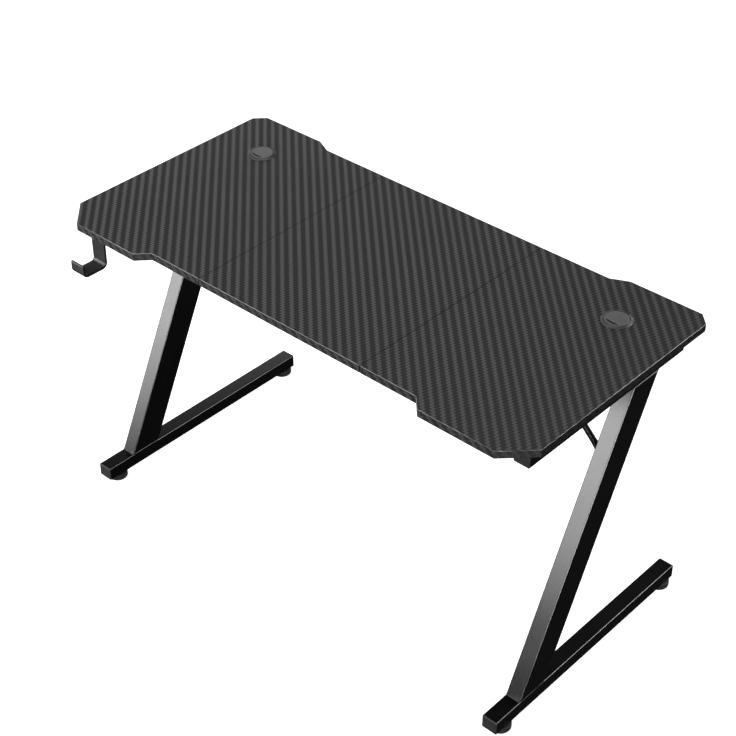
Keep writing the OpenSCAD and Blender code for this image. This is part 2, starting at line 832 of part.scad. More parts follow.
brace();  // brace_right
frame_bolts();
brace_bolts();
weld_nuts();
tube_panel_screws();
beam_panel_screws();
on_left() grommet_liner();  // grommet_liner_left
grommet_liner();  // grommet_liner_right
grommet_cap_left();
grommet_cap();  // grommet_cap_right
headset_hook();
hook_screws();
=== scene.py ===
"""Looks of a straight gaming desk with a three-panel carbon-twill top on two slanted steel legs.

Lengths are metres in the CAD frame: X left to right, Y front to back, Z up, floor at z = 0.
"""

import math
import random

import bmesh
import bpy
from mathutils import Matrix, Vector


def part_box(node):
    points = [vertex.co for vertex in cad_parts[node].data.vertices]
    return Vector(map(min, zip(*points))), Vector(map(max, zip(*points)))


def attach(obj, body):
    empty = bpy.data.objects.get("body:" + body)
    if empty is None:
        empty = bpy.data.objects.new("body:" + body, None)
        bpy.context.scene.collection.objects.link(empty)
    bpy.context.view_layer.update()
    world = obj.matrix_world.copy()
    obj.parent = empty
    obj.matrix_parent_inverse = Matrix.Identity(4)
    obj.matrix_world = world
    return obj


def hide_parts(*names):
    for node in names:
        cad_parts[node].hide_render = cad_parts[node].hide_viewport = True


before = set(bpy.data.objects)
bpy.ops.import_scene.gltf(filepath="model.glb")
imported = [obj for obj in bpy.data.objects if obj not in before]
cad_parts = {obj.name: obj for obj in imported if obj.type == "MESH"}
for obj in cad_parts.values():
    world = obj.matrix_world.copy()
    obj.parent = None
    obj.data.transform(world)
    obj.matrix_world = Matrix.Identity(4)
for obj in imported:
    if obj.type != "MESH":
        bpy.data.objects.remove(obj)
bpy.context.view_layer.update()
random.seed(7)

MM = 0.001
TOUCH = 1e-5
FRAME_BODY = "desk_frame"
SIDES = (("left", -1), ("right", 1))
ENDS = ("front", "rear")
UP = Vector((0, 0, 1))


# ---------------------------------------------------------------- camera and light


CAMERA_AZIMUTH = math.radians(42.29)
CAMERA_ELEVATION = math.radians(36.39)
CAMERA_DISTANCE = 3.5889
CAMERA_TARGET = Vector((-0.0128, -0.0078, 0.4539))
CAMERA_REACH = 100
LENS_MM = 82.67
SENSOR_MM = 36

# Name, place, target, width, height, watts, and whether it lights surfaces or only shines in them
LIGHTS = [
    ("softbox_key", (-1.75, -1.98, 2.35), (-0.2, 0, 0.7), 2.2, 0.8, 38, True),
    ("softbox_low", (-1.65, -3.05, 1.08), (0, 0, 0.5), 3.4, 1.2, 140, True),
    ("softbox_left", (-2.75, -2.55, 0.3), (-0.5, 0, 0.3), 0.9, 0.5, 9, True),
    ("softbox_top", (-0.2, 0.6, 3.3), (0, 0.1, 0.7), 1.8, 1.1, 17, True),
    ("softbox_rear", (-2.0, 2.2, 1.5), (0, 0, 0.7), 2.4, 0.55, 5, True),
    ("rim_rear", (1.8, 1.75, 1.9), (0.4, 0, 0.7), 1.6, 0.9, 75, False),
    ("rim_front", (2.8, -2.6, 0.6), (0.5, 0, 0.4), 1.6, 1.1, 170, False),
    ("rim_right", (3.6, 0.5, 1.3), (0.6, 0, 0.5), 2.2, 0.7, 60, False),
    ("fill_back", (1.0, 3.4, 0.9), (0, 0, 0.4), 2.6, 1.2, 40, True),
    ("fill_left", (-3.5, 0.6, 0.6), (-0.6, 0, 0.3), 2.2, 1.0, 20, True),
]
WHITE = (1, 1, 1, 1)
ROOM_COLOUR = (0.95, 0.97, 1.0, 1)
ROOM_STRENGTH = 0.03


def look_at(obj, place, target):
    obj.location = place
    obj.rotation_euler = (Vector(target) - Vector(place)).to_track_quat("-Z", "Y").to_euler()


def make_camera():
    """Camera at the photograph's angle, from a fit to the corners of the desk."""
    back = Vector((
        math.sin(CAMERA_AZIMUTH) * math.cos(CAMERA_ELEVATION),
        -math.cos(CAMERA_AZIMUTH) * math.cos(CAMERA_ELEVATION),
        math.sin(CAMERA_ELEVATION),
    ))
    data = bpy.data.cameras.new("camera")
    data.lens = LENS_MM
    data.sensor_width = SENSOR_MM
    data.clip_end = CAMERA_REACH
    camera = bpy.data.objects.new("camera", data)
    bpy.context.scene.collection.objects.link(camera)
    look_at(camera, CAMERA_TARGET + back * CAMERA_DISTANCE, CAMERA_TARGET)
    bpy.context.scene.camera = camera


def make_lights():
    for name, place, target, width, height, watts, lights_surfaces in LIGHTS:
        data = bpy.data.lights.new(name, "AREA")
        data.shape = "RECTANGLE"
        data.size = width
        data.size_y = height
        data.energy = watts
        light = bpy.data.objects.new(name, data)
        bpy.context.scene.collection.objects.link(light)
        look_at(light, place, target)
        light.visible_camera = False
        light.visible_diffuse = lights_surfaces


def make_world():
    """Dim room round the desk, with a white backdrop that only the camera sees."""
    bpy.context.scene.view_settings.view_transform = "Standard"
    world = bpy.data.worlds.new("studio")
    bpy.context.scene.world = world
    world.use_nodes = True
    tree = world.node_tree
    room = tree.nodes["Background"]
    room.inputs["Color"].default_value = ROOM_COLOUR
    room.inputs["Strength"].default_value = ROOM_STRENGTH
    backdrop = tree.nodes.new("ShaderNodeBackground")
    backdrop.inputs["Color"].default_value = WHITE
    choice = tree.nodes.new("ShaderNodeMixShader")
    tree.links.new(tree.nodes.new("ShaderNodeLightPath").outputs["Is Camera Ray"], choice.inputs[0])
    tree.links.new(room.outputs[0], choice.inputs[1])
    tree.links.new(backdrop.outputs[0], choice.inputs[2])
    tree.links.new(choice.outputs[0], tree.nodes["World Output"].inputs["Surface"])


# ---------------------------------------------------------------- materials


# Most of a noise texture's values lie between these two
NOISE_LOW, NOISE_HIGH = 0.3, 0.7

TOW = 6.28 * MM  # width of a tow of the carbon twill
TWILL_REPEAT = 4.0  # tows before the pattern repeats
TWILL_FLOAT = 2.0  # tows that each tow passes over
FIBRES_ACROSS, FIBRES_ALONG = 2600, 260  # fibre streaks to the metre


class Shader:
    """A material whose nodes are put together in code around one Principled shader."""

    def __init__(self, name, **settings):
        self.material = bpy.data.materials.new(name)
        self.material.use_nodes = True
        self.tree = self.material.node_tree
        self.surface = self.tree.nodes["Principled BSDF"]
        for socket, value in settings.items():
            self.surface.inputs[socket.replace("_", " ")].default_value = value
        self.place = self.tree.nodes.new("ShaderNodeTexCoord").outputs["Object"]

    def feed(self, socket, value):
        if isinstance(value, bpy.types.NodeSocket):
            self.tree.links.new(value, socket)
        else:
            socket.default_value = value

    def math(self, operation, *values):
        made = self.tree.nodes.new("ShaderNodeMath")
        made.operation = operation
        for socket, value in zip(made.inputs, values):
            self.feed(socket, value)
        return made.outputs[0]

    def split(self, vector):
        made = self.tree.nodes.new("ShaderNodeSeparateXYZ")
        self.feed(made.inputs[0], vector)
        return made.outputs

    def scaled(self, vector, scale):
        made = self.tree.nodes.new("ShaderNodeVectorMath")
        made.operation = "MULTIPLY"
        self.feed(made.inputs[0], vector)
        made.inputs[1].default_value = scale
        return made.outputs[0]

    def noise(self, vector, scale, detail, roughness=0.55):
        made = self.tree.nodes.new("ShaderNodeTexNoise")
        self.feed(made.inputs["Vector"], vector)
        made.inputs["Scale"].default_value = scale
        made.inputs["Detail"].default_value = detail
        made.inputs["Roughness"].default_value = roughness
        return made.outputs["Fac"]

    def cells(self, vector, scale):
        made = self.tree.nodes.new("ShaderNodeTexVoronoi")
        self.feed(made.inputs["Vector"], vector)
        made.inputs["Scale"].default_value = scale
        return made.outputs["Distance"]

    def span(self, value, low, high, to_low, to_high):
        made = self.tree.nodes.new("ShaderNodeMapRange")
        for socket, number in zip(made.inputs, (value, low, high, to_low, to_high)):
            self.feed(socket, number)
        return made.outputs[0]

    def spread(self, noise, low, high):
        """Noise stretched to a range of its own."""
        return self.span(noise, NOISE_LOW, NOISE_HIGH, low, high)

    def mix(self, share, first, second):
        made = self.tree.nodes.new("ShaderNodeMix")
        made.data_type = "RGBA"
        self.feed(made.inputs["Factor"], share)
        for key, colour in (("A", first), ("B", second)):
            socket = [s for s in made.inputs if s.name == key and s.type == "RGBA"][0]
            self.feed(socket, colour if isinstance(colour, bpy.types.NodeSocket) else (*colour, 1))
        return [s for s in made.outputs if s.type == "RGBA"][0]

    def colour(self, value):
        self.feed(self.surface.inputs["Base Color"], value)

    def roughness(self, value):
        self.feed(self.surface.inputs["Roughness"], value)

    def bump(self, height, depth, strength):
        made = self.tree.nodes.new("ShaderNodeBump")
        made.inputs["Strength"].default_value = strength
        made.inputs["Distance"].default_value = depth
        self.feed(made.inputs["Height"], height)
        self.feed(self.surface.inputs["Normal"], made.outputs[0])


def twill(shader, across, along):
    """2/2 twill over two coordinates: (share of light tow, height of the tows, fibre streaks)."""
    u = shader.math("DIVIDE", across, TOW)
    v = shader.math("DIVIDE", along, TOW)
    column = shader.math("FLOOR", u)
    row = shader.math("FLOOR", v)
    step = shader.math("FLOORED_MODULO", shader.math("ADD", column, row), TWILL_REPEAT)
    light = shader.math("LESS_THAN", step, TWILL_FLOAT - 0.5)
    dark = shader.math("SUBTRACT", 1.0, light)

    def by_tow(on_light, on_dark):
        return shader.math(
            "ADD", shader.math("MULTIPLY", on_light, light), shader.math("MULTIPLY", on_dark, dark)
        )

    def off_centre(value):
        return shader.math("ABSOLUTE", shader.math("SUBTRACT", shader.math("FRACT", value), 0.5))

    edge = by_tow(off_centre(u), off_centre(v))
    light_way = shader.math("FLOORED_MODULO", shader.math("ADD", column, v), TWILL_REPEAT)
    dark_way = shader.math("FLOORED_MODULO", shader.math("ADD", u, row), TWILL_REPEAT)
    way = by_tow(light_way, shader.math("SUBTRACT", dark_way, TWILL_FLOAT))
    tip = shader.math("MINIMUM", way, shader.math("SUBTRACT", TWILL_FLOAT, way))
    light_tip = shader.math("MULTIPLY", shader.span(tip, 0.0, 0.3, 0.25, 1.0), light)
    dark_tip = shader.math("MULTIPLY", shader.span(tip, 0.0, 0.6, 0.0, 1.0), dark)
    dip = shader.math("MAXIMUM", light_tip, dark_tip)
    crown = shader.math("MULTIPLY", shader.span(edge, 0.36, 0.5, 1.0, 0.0), dip)
    lengthwise = shader.scaled(shader.place, (FIBRES_ACROSS, FIBRES_ALONG, FIBRES_ALONG))
    crosswise = shader.scaled(shader.place, (FIBRES_ALONG, FIBRES_ACROSS, FIBRES_ALONG))
    fibres = by_tow(shader.noise(lengthwise, 1.0, 2.0), shader.noise(crosswise, 1.0, 2.0))
    return light, crown, fibres


def laminate_top():
    """Carbon-twill print of the upper face, light tows one way and dark tows the other."""
    shader = Shader("carbon_twill_laminate", Specular_IOR_Level=0.42)
    x, y, _ = shader.split(shader.place)
    light, crown, fibres = twill(shader, x, y)
    streak = shader.spread(fibres, 0, 1)
    bright = shader.mix(streak, (0.088, 0.088, 0.0905), (0.172, 0.172, 0.176))
    dull = shader.mix(streak, (0.016, 0.016, 0.0168), (0.034, 0.034, 0.0352))
    tone = shader.mix(light, dull, bright)
    tone = shader.mix(shader.span(crown, 0, 1, 0.85, 0), tone, (0.003, 0.003, 0.004))
    cloud = shader.span(shader.noise(shader.place, 7.0, 2.0), 0.35, 0.65, 0.0, 0.08)
    shader.colour(shader.mix(cloud, tone, (0.03, 0.03, 0.033)))
    grain = shader.noise(shader.place, 900.0, 2.0)
    shader.roughness(shader.math(
        "ADD", shader.span(light, 0, 1, 0.50, 0.42), shader.spread(grain, -0.05, 0.05)
    ))
    relief = shader.math(
        "ADD", shader.math("MULTIPLY", crown, 0.6), shader.math("MULTIPLY", fibres, 0.4)
    )
    shader.bump(relief, 0.08 * MM, 0.5)
    return shader.material


def laminate_edge():
    """Edge band: the same print seen edge-on, which looks mottled."""
    shader = Shader(
        "carbon_edge_band", Specular_IOR_Level=0.5, Coat_Weight=0.2, Coat_Roughness=0.25
    )
    x, y, z = shader.split(shader.place)
    along = shader.math("ADD", x, shader.math("MULTIPLY", y, 0.93))
    light, crown, fibres = twill(shader, along, z)
    mottle = shader.noise(shader.place, 260.0, 4.0, 0.65)
    tone = shader.mix(light, (0.006, 0.006, 0.006), (0.054, 0.054, 0.053))
    tone = shader.mix(shader.span(mottle, 0.46, 0.68, 0, 0.6), tone, (0.070, 0.070, 0.067))
    shader.colour(shader.mix(shader.span(crown, 0, 1, 0.3, 0), tone, (0.01, 0.01, 0.01)))
    shader.roughness(shader.spread(mottle, 0.30, 0.44))
    shader.bump(fibres, 0.05 * MM, 0.4)
    return shader.material


def laminate_arris():
    """Rounded edge of the band, smoother than the rest, with its colour painted lighter as a
    painted highlight along the edge.
    """
    shader = Shader("carbon_arris", Specular_IOR_Level=1.0, Coat_Weight=1.0, Coat_Roughness=0.2)
    arris_noise = shader.noise(shader.place, 120.0, 4.0)
    painted_highlight_share = shader.span(arris_noise, 0.35, 0.65, 0, 1)
    # Colour lighter than the band all along the edge: a painted highlight, varied by the noise.
    shader.colour(shader.mix(painted_highlight_share, (0.06, 0.06, 0.059), (0.13, 0.13, 0.128)))
    shader.roughness(shader.spread(arris_noise, 0.20, 0.32))
    shader.bump(shader.noise(shader.place, 700.0, 2.0), 0.02 * MM, 0.3)
    return shader.material


def laminate_under():
    """Black backing paper of the boards, with a faint grain of the chips below it."""
    shader = Shader("board_backing", Specular_IOR_Level=0.35)
    chips = shader.cells(shader.scaled(shader.place, (1, 2.2, 1)), 190.0)
    fleck = shader.noise(shader.place, 420.0, 3.0)
    shader.colour(shader.mix(
        shader.span(fleck, 0.35, 0.7, 0, 1), (0.028, 0.028, 0.027), (0.050, 0.050, 0.048)
    ))
    shader.roughness(shader.span(chips, 0.0, 0.8, 0.62, 0.5))
    shader.bump(chips, 0.06 * MM, 0.35)
    return shader.material


def seam_shade():
    """Painted shade on the raw faces inside the joint between two panels: near-black colour so the
    seam reads as a dark line.
    """
    shader = Shader("seam_painted_shade", Specular_IOR_Level=0.1)
    dust = shader.noise(shader.place, 300.0, 4.0)
    # Near-black painted shade of the joint, varied a little by the noise.
    shader.colour(shader.mix(
        shader.span(dust, 0.4, 0.7, 0, 1), (0.002, 0.002, 0.002), (0.006, 0.006, 0.006)
    ))
    shader.roughness(shader.spread(dust, 0.7, 0.85))
    shader.bump(dust, 0.05 * MM, 0.4)
    return shader.material


def powder_coat(name="black_powder_coat", tone=1.0):
    """Semi-gloss black powder coat with its fine orange peel and a few pale specks of dust."""
    shader = Shader(name, Specular_IOR_Level=0.55)
    peel = shader.noise(shader.place, 340.0, 2.0, 0.5)
    drift = shader.noise(shader.place, 6.0, 2.0)
    speck = shader.noise(shader.place, 1500.0, 1.0)
    low = [part * tone for part in (0.0034, 0.0034, 0.0036)]
    high = [part * tone for part in (0.0052, 0.0052, 0.0054)]
    base = shader.mix(shader.spread(drift, 0, 1), low, high)
    shader.colour(shader.mix(shader.span(speck, 0.72, 0.80, 0, 0.5), base, (0.06, 0.06, 0.06)))
    shader.roughness(shader.math(
        "ADD", shader.spread(peel, 0.225, 0.255), shader.spread(drift, -0.02, 0.02)
    ))
    shader.bump(peel, 0.01 * MM, 0.05)
    return shader.material


def moulded_plastic(name, low, high, rough, grain_scale=1100.0, specular=0.5):
    """Moulded plastic: spark-eroded grain, faint flow marks and a soft satin surface."""
    shader = Shader(name, Specular_IOR_Level=specular)
    grain = shader.noise(shader.place, grain_scale, 3.0, 0.6)
    flow = shader.noise(shader.scaled(shader.place, (1, 1, 2.5)), 18.0, 3.0)
    pits = shader.cells(shader.place, grain_scale * 0.9)
    shader.colour(shader.mix(shader.spread(flow, 0, 1), low, high))
    shader.roughness(shader.math(
        "ADD",
        shader.spread(grain, rough - 0.05, rough + 0.05),
        shader.spread(flow, -0.03, 0.03),
    ))
    shader.bump(shader.math("ADD", grain, shader.math("MULTIPLY", pits, 0.5)), 0.04 * MM, 0.4)
    return shader.material


def pad_rubber():
    """Rubber of the levelling pads, dusty towards the floor."""
    shader = Shader("pad_rubber_black", Specular_IOR_Level=0.35)
    z = shader.split(shader.place)[2]
    grain = shader.noise(shader.place, 800.0, 3.0)
    dust = shader.noise(shader.place, 160.0, 4.0)
    low = shader.math("MULTIPLY", shader.span(z, 0.0, 4 * MM, 0.5, 0.0), dust)
    shader.colour(shader.mix(low, (0.010, 0.010, 0.010), (0.05, 0.048, 0.045)))
    shader.roughness(shader.spread(grain, 0.55, 0.72))
    shader.bump(grain, 0.06 * MM, 0.5)
    return shader.material


def zinc_plate():
    """Bright zinc plate with the spangle and handling marks of small hardware."""
    shader = Shader("zinc_plate", Metallic=1.0)
    spangle = shader.cells(shader.place, 520.0)
    smear = shader.noise(shader.scaled(shader.place, (1, 1, 3)), 240.0, 4.0)
    shader.colour(shader.mix(
        shader.spread(smear, 0, 1), (0.50, 0.51, 0.53), (0.66, 0.66, 0.65)
    ))
    shader.roughness(shader.math(
        "ADD", shader.span(spangle, 0, 0.8, 0.26, 0.36), shader.spread(smear, -0.04, 0.06)
    ))
    shader.bump(smear, 0.02 * MM, 0.3)
    return shader.material


def beech_wood():
    """Fluted beech of the dowels: short dark rays along the grain."""
    shader = Shader("beech_dowel", Specular_IOR_Level=0.3)
    grain = shader.noise(shader.scaled(shader.place, (60, 900, 900)), 1.0, 4.0)
    rays = shader.noise(shader.scaled(shader.place, (220, 1900, 1900)), 1.0, 2.0)
    tone = shader.mix(shader.spread(grain, 0, 1), (0.50, 0.33, 0.19), (0.66, 0.48, 0.30))
    shader.colour(shader.mix(shader.span(rays, 0.62, 0.72, 0, 0.5), tone, (0.30, 0.17, 0.09)))
    shader.roughness(shader.spread(grain, 0.55, 0.7))
    shader.bump(grain, 0.05 * MM, 0.4)
    return shader.material


def studio_floor():
    """White sweep that is clear from below, so the underside can be looked at."""
    shader = Shader("studio_floor", Specular_IOR_Level=0.1)
    haze = shader.noise(shader.place, 0.6, 2.0)
    shader.colour(shader.mix(
        shader.spread(haze, 0, 1), (0.86, 0.86, 0.86), (0.88, 0.88, 0.88)
    ))
    shader.roughness(shader.spread(haze, 0.85, 0.95))
    shader.surface.inputs["Emission Color"].default_value = WHITE
    shader.surface.inputs["Emission Strength"].default_value = 0.95
    tree = shader.tree
    side = tree.nodes.new("ShaderNodeMixShader")
    tree.links.new(tree.nodes.new("ShaderNodeNewGeometry").outputs["Backfacing"], side.inputs[0])
    tree.links.new(shader.surface.outputs[0], side.inputs[1])
    tree.links.new(tree.nodes.new("ShaderNodeBsdfTransparent").outputs[0], side.inputs[2])
    tree.links.new(side.outputs[0], tree.nodes["Material Output"].inputs["Surface"])
    return shader.material


TOP = laminate_top()
EDGE = laminate_edge()
ARRIS = laminate_arris()
UNDER = laminate_under()
SEAM_SHADE = seam_shade()
COAT = powder_coat()
BEAD = powder_coat("black_powder_coat_weld", 1.6)
CAP = moulded_plastic(
    "cap_plastic_black", (0.020, 0.020, 0.021), (0.028, 0.028, 0.029), 0.50
)
GROMMET = moulded_plastic(
    "grommet_plastic_grey", (0.165, 0.165, 0.165), (0.190, 0.190, 0.189), 0.46, 900.0
)
# The ring is the caps' grey plastic painted darker: painted shade for the shaded front of its
# bevelled rim.
SHADED_RING = moulded_plastic(
    "grommet_ring_painted_shade", (0.056, 0.056, 0.056), (0.072, 0.072, 0.072), 0.40, 900.0
)
# Dark sheet under each cable slot: painted shade for the shade inside the slot.
SLOT_SHADE = moulded_plastic(
    "grommet_flap_rubber", (0.016, 0.016, 0.015), (0.030, 0.030, 0.029), 0.55, 600.0, 0.3
)
HOOK = moulded_plastic(
    "hook_plastic_black", (0.020, 0.020, 0.022), (0.030, 0.030, 0.032), 0.40, 700.0
)
RUBBER = pad_rubber()
ZINC = zinc_plate()
BEECH = beech_wood()
LAMINATES = [TOP, EDGE, ARRIS, UNDER, SEAM_SHADE]
FINISHES = {
    "laminate_board": TOP,
    "powder_coat": COAT,
    "cap_plastic": CAP,
    "grommet_plastic": GROMMET,
    "hook_plastic": HOOK,
    "pad_rubber": RUBBER,
    "zinc_steel": ZINC,
    "beech": BEECH,
}


# ---------------------------------------------------------------- mesh helpers


def piece(name, mesh_data, finishes, nodes, body=FRAME_BODY, sharp=40, even=True):
    """Turns mesh data into a smooth-shaded piece that rides on a body and stands for CAD nodes."""
    bmesh.ops.recalc_face_normals(mesh_data, faces=mesh_data.faces)
    mesh = bpy.data.meshes.new(name)
    mesh_data.to_mesh(mesh)
    mesh_data.free()
    for finish in finishes:
        mesh.materials.append(finish)
    for face in mesh.polygons:
        face.use_smooth = True
    mesh.set_sharp_from_angle(angle=math.radians(sharp))
    made = bpy.data.objects.new(name, mesh)
    bpy.context.scene.collection.objects.link(made)
    if even:
        flat = made.modifiers.new("even_normals", "WEIGHTED_NORMAL")
        flat.keep_sharp = True
    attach(made, body)
    if nodes:
        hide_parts(*nodes)
    return made


def loft(mesh_data, rings, loop=False):
    """Skins a row of rings that have the same number of points, and closes it at both ends."""
    rows = [[mesh_data.verts.new(p) for p in points] for points in rings]
    count = len(rows[0])
    pairs = list(zip(rows, rows[1:]))
    if loop:
        pairs.append((rows[-1], rows[0]))
    for low, high in pairs:
        for i in range(count):
            j = (i + 1) % count
            mesh_data.faces.new((low[i], low[j], high[j], high[i]))
    if not loop:
        mesh_data.faces.new(rows[0][::-1])
        mesh_data.faces.new(rows[-1])


def ring(centre, height, radius, steps):
    """Points round the vertical through centre. radius is a number or depends on the angle."""
    points = []
    for i in range(steps):
        angle = 2 * math.pi * i / steps
        reach = radius(angle) if callable(radius) else radius
        points.append(Vector((
            centre[0] + reach * math.cos(angle), centre[1] + reach * math.sin(angle), height
        )))
    return points


def lathe(mesh_data, centre, profile, steps=72, loop=False):
    """Turns a profile of (radius, height) about the vertical through centre."""
    loft(mesh_data, [ring(centre, height, radius, steps) for radius, height in profile], loop)


def turned(centre, corners, steps, closed=True):
    """Mesh data turned from a section: ((radius, height), rounding in mm) for each corner."""
    section = rounded(
        [corner for corner, _ in corners], [size * MM for _, size in corners], closed, steps=3
    )
    made = bmesh.new()
    lathe(made, centre, [(p.x, p.y) for p in section], steps, loop=closed)
    return made


def stacked(outline, centre, levels):
    """Mesh data of an outline at each (height, inset)."""
    made = bmesh.new()
    loft(made, [
        [(centre.x + p.x, centre.y + p.y, z) for p in inset(outline, shrink)]
        for z, shrink in levels
    ])
    return made


def cut_out(target, mesh_data):
    """Subtracts mesh data from a piece, ahead of the piece's other modifier."""
    bmesh.ops.recalc_face_normals(mesh_data, faces=mesh_data.faces)
    mesh = bpy.data.meshes.new("cutter")
    mesh_data.to_mesh(mesh)
    mesh_data.free()
    cutter = bpy.data.objects.new("cutter", mesh)
    bpy.context.scene.collection.objects.link(cutter)
    bore = target.modifiers.new("bore", "BOOLEAN")
    bore.object = cutter
    bore.solver = "EXACT"
    target.modifiers.move(1, 0)
    bpy.context.view_layer.update()
    with bpy.context.temp_override(object=target, active_object=target):
        bpy.ops.object.modifier_apply(modifier=bore.name)
    bpy.data.objects.remove(cutter)


def rounded(points, radii, closed=True, steps=4):
    """A 2D outline with arcs for corners. radii is one number or one for each corner."""
    points = [Vector(p) for p in points]
    count = len(points)
    if isinstance(radii, (int, float)):
        radii = [radii] * count
    out = []
    for i, here in enumerate(points):
        if (not closed and i in (0, count - 1)) or radii[i] <= 0:
            out.append(here)
            continue
        back = (points[i - 1] - here).normalized()
        ahead = (points[(i + 1) % count] - here).normalized()
        half = back.angle(ahead) / 2
        centre = here + (back + ahead).normalized() * radii[i] / math.sin(half)
        first = here + back * radii[i] / math.tan(half) - centre
        last = here + ahead * radii[i] / math.tan(half) - centre
        turn = first.angle_signed(last)
        for k in range(steps + 1):
            angle = -turn * k / steps
            out.append(centre + Matrix.Rotation(angle, 2) @ first)
    return out


def inset(points, distance):
    """A closed outline, anticlockwise, moved inwards by a distance."""
    if distance == 0:
        return list(points)
    out = []
    count = len(points)
    for i, here in enumerate(points):
        before = (here - points[i - 1]).normalized()
        after = (points[(i + 1) % count] - here).normalized()
        normal_a = Vector((-before.y, before.x))
        normal_b = Vector((-after.y, after.x))
        out.append(here + (normal_a + normal_b) * distance / (1 + normal_a.dot(normal_b)))
    return out


def arris_levels(low, high, radius, steps=3):
    """(height, inset) of a wall from low to high with a rounded edge at each end."""
    quarter = [math.pi / 2 * k / steps for k in range(steps + 1)]
    foot = [(low + radius * (1 - math.cos(a)), radius * (1 - math.sin(a))) for a in quarter]
    head = [(high - radius * (1 - math.sin(a)), radius * (1 - math.cos(a))) for a in quarter]
    return foot + head


def islands(node):
    """(lowest corner, highest corner) of each separate solid of a CAD node."""
    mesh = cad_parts[node].data
    parent = {}

    def find(key):
        while parent[key] != key:
            parent[key] = parent[parent[key]]
            key = parent[key]
        return key

    keys = [tuple(round(c, 6) for c in v.co) for v in mesh.vertices]
    for key in keys:
        parent.setdefault(key, key)
    for face in mesh.polygons:
        first = find(keys[face.vertices[0]])
        for index in face.vertices[1:]:
            parent[find(keys[index])] = first
    groups = {}
    for key in parent:
        groups.setdefault(find(key), []).append(key)
    boxes = []
    for points in groups.values():
        boxes.append((
            Vector([min(p[k] for p in points) for k in range(3)]),
            Vector([max(p[k] for p in points) for k in range(3)]),
        ))
    return sorted(boxes, key=lambda b: tuple(b[0]))


# ---------------------------------------------------------------- tabletop


PANEL_ARRIS = 0.6 * MM
SEAM_NICK = 1.1 * MM
SEAM_BAND = 1.3 * MM  # faces this near a seam are its raw edges
RIM_LAP = 3.6 * MM  # how far a grommet's rim reaches past its bore in the panel
HOLE_REACH = 35 * MM  # corners this near a grommet's centre belong to its bore


def cap_centre(side):
    low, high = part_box("grommet_cap_" + side)
    return Vector(((low.x + high.x) / 2, (low.y + high.y) / 2))


def panel_outline(node, skip=None):
    """Corners of a panel's upper face, anticlockwise, without its grommet hole."""
    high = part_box(node)[1]
    found = set()
    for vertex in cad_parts[node].data.vertices:
        point = Vector((round(vertex.co.x, 6), round(vertex.co.y, 6)))
        outside = skip is None or (point - skip).length > HOLE_REACH
        if high.z - vertex.co.z < TOUCH and outside:
            found.add(tuple(point))
    middle = sum((Vector(p) for p in found), Vector((0, 0))) / len(found)

    def bearing(point):
        return math.atan2(point[1] - middle.y, point[0] - middle.x)

    return [Vector(p) for p in sorted(found, key=bearing)]


def nicked(outline, seam):
    """The outline with a small chamfer on the corners that meet at a seam."""
    made = []
    for i, corner in enumerate(outline):
        if abs(abs(corner.x) - seam) > SEAM_BAND:
            made.append(corner)
            continue
        for other in (outline[i - 1], outline[(i + 1) % len(outline)]):
            made.append(corner + (other - corner).normalized() * SEAM_NICK)
    return made


def laminate_of(face, middle_z, seam):
    """The finish of a panel's face, by the way it looks and by its place."""
    level = abs(face.normal.z)
    middle = face.calc_center_median()
    if level > 0.95:
        return TOP if middle.z > middle_z else UNDER
    if abs(abs(middle.x) - seam) < SEAM_BAND:
        return SEAM_SHADE
    return ARRIS if level > 0.05 else EDGE


def make_panel(name, node, hole=None):
    """Board with rounded edges, nicked seam corners and, at a hole's centre, a grommet's bore."""
    low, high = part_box(node)
    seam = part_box("top_panel_middle")[1].x
    outline = nicked(panel_outline(node, hole), seam)
    made = stacked(outline, Vector((0, 0)), arris_levels(low.z, high.z, PANEL_ARRIS))
    for face in made.faces:
        face.normal_update()
        finish = laminate_of(face, (low.z + high.z) / 2, seam)
        face.material_index = LAMINATES.index(finish)
    panel = piece(name, made, LAMINATES, [node])
    if hole is not None:
        rim_low, rim_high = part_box("grommet_liner_right")
        radius = (rim_high.x - rim_low.x) / 2 - RIM_LAP
        cutter = bmesh.new()
        lathe(cutter, hole, [(radius, low.z - 10 * MM), (radius, high.z + 10 * MM)])
        cut_out(panel, cutter)


# ---------------------------------------------------------------- fasteners


def hexagon(radius, angle):
    """Reach of a hexagon at an angle, for a radius measured to its flats."""
    part = (angle + math.pi / 6) % (math.pi / 3) - math.pi / 6
    return radius / math.cos(part)


def cross(length, width, angle):
    """Reach of a cross at an angle, for half the length and half the width of its arms."""
    major = max(abs(math.cos(angle)), abs(math.sin(angle)))
    minor = max(min(abs(math.cos(angle)), abs(math.sin(angle))), 1e-6)
    return min(length / major, width / minor)


def fastener(made, seat, axis, head_r, head_h, shank_r, length, drive):
    """One screw whose shank runs from seat along axis, with a hex socket or a cross recess."""
    turn = Vector(axis).to_track_quat("Z", "Y").to_matrix()
    socket = head_r * (0.5 if drive == "hex" else 0.55)

    def recess(scale):
        if drive == "hex":
            return lambda angle: hexagon(socket * 0.9 * scale, angle)
        return lambda angle: cross(socket * scale, socket * 0.26 * scale, angle)

    levels = [
        (recess(0.86), -head_h * 0.45), (recess(1.0), -head_h * 0.94),
        (socket * 1.32, -head_h), (head_r * 0.86, -head_h * 0.93),
        (head_r * 0.96, -head_h * 0.72), (head_r, -head_h * 0.4), (head_r, 0.0),
        (shank_r, 0.0), (shank_r, length - shank_r), (shank_r * 0.35, length),
    ]
    loft(made, [
        [Vector(seat) + turn @ spot for spot in ring((0, 0), height, radius, 48)]
        for radius, height in levels
    ])


